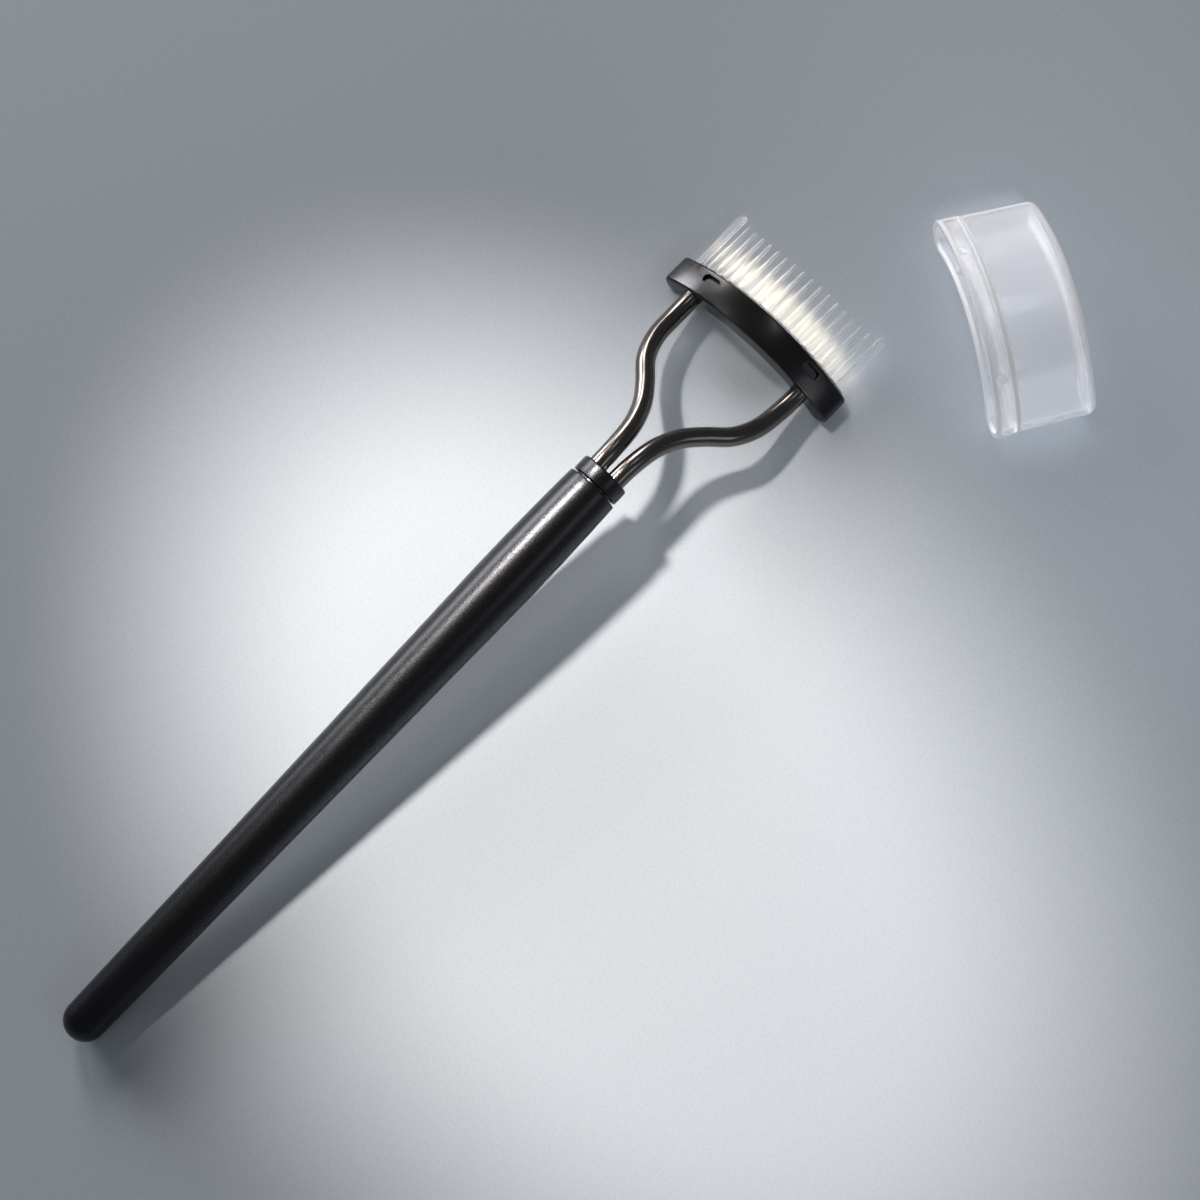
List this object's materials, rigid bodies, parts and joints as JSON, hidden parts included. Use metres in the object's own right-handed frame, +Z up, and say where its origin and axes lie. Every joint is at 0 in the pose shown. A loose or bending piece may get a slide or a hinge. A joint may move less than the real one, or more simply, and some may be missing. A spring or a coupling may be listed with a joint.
{
  "type": "eyelash comb",
  "caption": "Arched eyelash comb with fine clear teeth on a bent wire fork, a slim tapered handle and a separate push-on cap lying beside it.",
  "frame": {"origin": "centre of the footprint of the comb and its cap, on the surface they lie on", "axes": "+Y along the comb from its tail to its teeth, +X to the comb's right hand side, where the cap lies, +Z up"},
  "size_m": [0.0496, 0.1522, 0.0133],
  "materials": {
    "handle": "black anodised, satin",
    "wire_collar": "black anodised, satin",
    "fork_wire_left": "polished black nickel plating",
    "fork_wire_right": "polished black nickel plating",
    "head_frame": "moulded, gloss",
    "comb_insert": "clear moulded",
    "cap": "frosted translucent moulded"
  },
  "bodies": {
    "comb": {"handle": "handle", "wire_collar": "wire_collar", "fork_wire_left": "fork_wire_left", "fork_wire_right": "fork_wire_right", "head_frame": "head_frame", "comb_insert": "comb_insert"},
    "cap": {"cap": "cap"}
  },
  "joints": [
    {"name": "cap_lift", "type": "slide", "parent": "comb", "child": "cap", "axis": [0, 0, 1], "range_m": [0, 0.05]}
  ]
}
